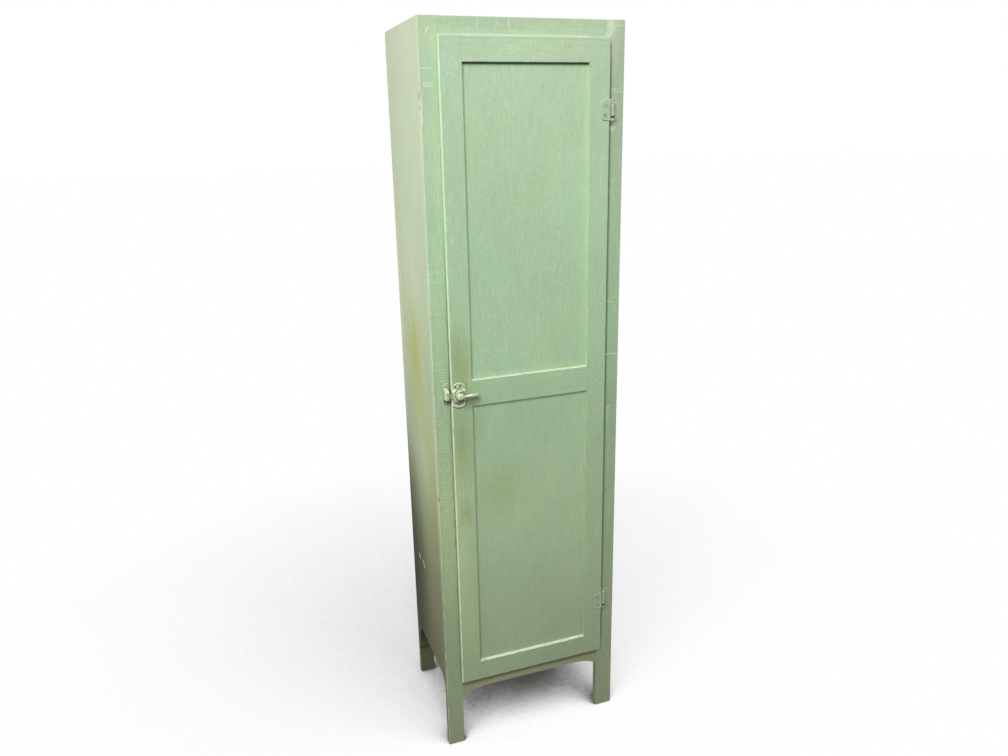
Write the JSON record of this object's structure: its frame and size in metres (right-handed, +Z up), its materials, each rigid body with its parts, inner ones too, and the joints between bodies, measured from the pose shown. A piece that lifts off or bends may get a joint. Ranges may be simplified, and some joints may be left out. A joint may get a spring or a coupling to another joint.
{
  "type": "storage cabinet",
  "caption": "Tall narrow painted storage cabinet on arched legs, with one framed and panelled door on surface hinges, a lever latch and inner shelves.",
  "frame": {"origin": "on the floor, under the middle of the outline's bounding box", "axes": "+X along the front from the latch side to the hinge side, +Y from the front to the back, +Z up"},
  "size_m": [0.468, 0.3668, 1.78],
  "materials": {
    "frame_paint": "brushed sage green oil paint, satin, finely cracked",
    "door_paint": "brushed sage green oil paint, satin, with pale worn arrises",
    "side_paint": "older olive green paint, matt, stained",
    "bare_wood": "unpainted aged softwood, dry",
    "painted_iron": "iron under several coats of worn green paint",
    "worn_iron": "cast iron with its paint rubbed thin",
    "spring_steel": "plain spring wire"
  },
  "bodies": {
    "cabinet": {"front_left_stile": "frame_paint", "front_right_stile": "frame_paint", "top_rail": "frame_paint", "apron": "frame_paint", "rear_left_leg": "side_paint", "rear_right_leg": "side_paint", "rear_top_rail": "side_paint", "rear_bottom_rail": "side_paint", "back_panel": "side_paint", "left_side_panel": "side_paint", "right_side_panel": "side_paint", "top_panel": "side_paint", "bottom_panel": "bare_wood", "bottom_left_cleat": "bare_wood", "bottom_right_cleat": "bare_wood", "shelf_1": "bare_wood", "shelf_2": "bare_wood", "shelf_3": "bare_wood", "shelf_4": "bare_wood", "shelf_1_left_cleat": "bare_wood", "shelf_1_right_cleat": "bare_wood", "shelf_2_left_cleat": "bare_wood", "shelf_2_right_cleat": "bare_wood", "shelf_3_left_cleat": "bare_wood", "shelf_3_right_cleat": "bare_wood", "shelf_4_left_cleat": "bare_wood", "shelf_4_right_cleat": "bare_wood", "upper_hinge_frame_leaf": "painted_iron", "upper_hinge_pin": "painted_iron", "lower_hinge_frame_leaf": "painted_iron", "lower_hinge_pin": "painted_iron", "latch_strike": "painted_iron", "hinge_frame_screw_1": "painted_iron", "hinge_frame_screw_2": "painted_iron", "hinge_frame_screw_3": "painted_iron", "hinge_frame_screw_4": "painted_iron", "strike_screw_1": "painted_iron", "strike_screw_2": "painted_iron"},
    "door": {"door_lock_stile": "door_paint", "door_hinge_stile": "door_paint", "door_top_rail": "door_paint", "door_mid_rail": "door_paint", "door_bottom_rail": "door_paint", "door_upper_panel": "door_paint", "door_lower_panel": "door_paint", "upper_hinge_door_leaf": "painted_iron", "lower_hinge_door_leaf": "painted_iron", "latch_case": "painted_iron", "bolt_spring": "spring_steel", "latch_screw_1": "painted_iron", "latch_screw_2": "painted_iron", "hinge_door_screw_1": "painted_iron", "hinge_door_screw_2": "painted_iron", "hinge_door_screw_3": "painted_iron", "hinge_door_screw_4": "painted_iron"},
    "lever": {"latch_lever": "worn_iron", "latch_cam": "worn_iron"},
    "bolt": {"latch_bolt": "worn_iron"}
  },
  "joints": [
    {"name": "door_swing", "type": "hinge", "parent": "cabinet", "child": "door", "pos_m": [0.1985, -0.16045, 0.97225], "axis": [0, 0, 1], "range_deg": [0, 175]},
    {"name": "lever_turn", "type": "hinge", "parent": "door", "child": "lever", "pos_m": [-0.1795, -0.16235, 0.97225], "axis": [0, 1, 0], "range_deg": [0, 45], "stiffness_Nm_per_rad": 0.065, "springref_deg": -28.65},
    {"name": "bolt_slide", "type": "slide", "parent": "door", "child": "bolt", "axis": [1, 0, 0], "range_m": [0, 0.0071], "deforming": ["bolt_spring"]}
  ],
  "couplings": [
    {"joint": "bolt_slide", "follows": "lever_turn", "m_per_rad": 0.009}
  ]
}
